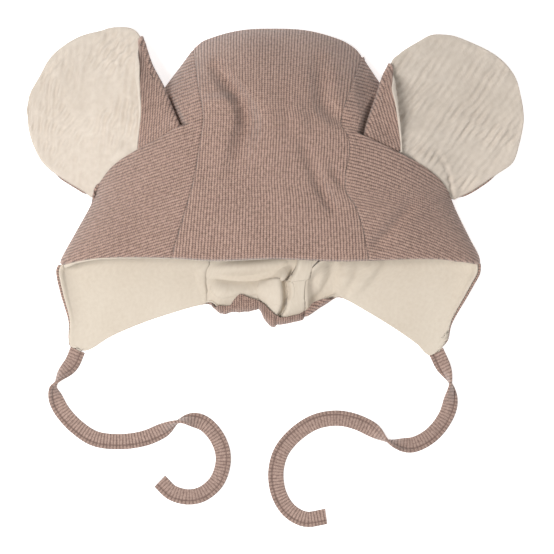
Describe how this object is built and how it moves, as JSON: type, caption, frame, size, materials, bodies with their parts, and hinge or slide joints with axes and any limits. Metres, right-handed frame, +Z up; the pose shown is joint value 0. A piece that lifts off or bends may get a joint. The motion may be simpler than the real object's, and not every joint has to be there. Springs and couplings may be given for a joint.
{
  "type": "baby hat with ears",
  "caption": "Baby's tie-on rib-knit bonnet with two round folded ears, a jersey lining, ear flaps and flat ties, lying on its back.",
  "frame": {"origin": "on the surface that the hat lies on, on the flat of its back panel, 50.6 mm behind the forehead edge", "axes": "+X to the ear on the right of the picture, +Y from the mouth to the crown, +Z up out of the surface"},
  "size_m": [0.2727, 0.2736, 0.0506],
  "materials": {
    "rib_knit": "fine rib knit, matt",
    "jersey_lining": "smooth cotton jersey, matt",
    "muslin": "crinkled double gauze, matt",
    "tie_rib": "cross-ribbed knit band, matt"
  },
  "bodies": {
    "root": {"center_panel": "rib_knit", "side_panel_left": "rib_knit", "side_panel_right": "rib_knit", "lining_center": "jersey_lining", "lining_left": "jersey_lining", "lining_right": "jersey_lining", "ear_left_front": "muslin", "ear_left_back": "rib_knit", "ear_right_front": "muslin", "ear_right_back": "rib_knit", "tie_left": "tie_rib", "tie_right": "tie_rib"}
  },
  "joints": []
}
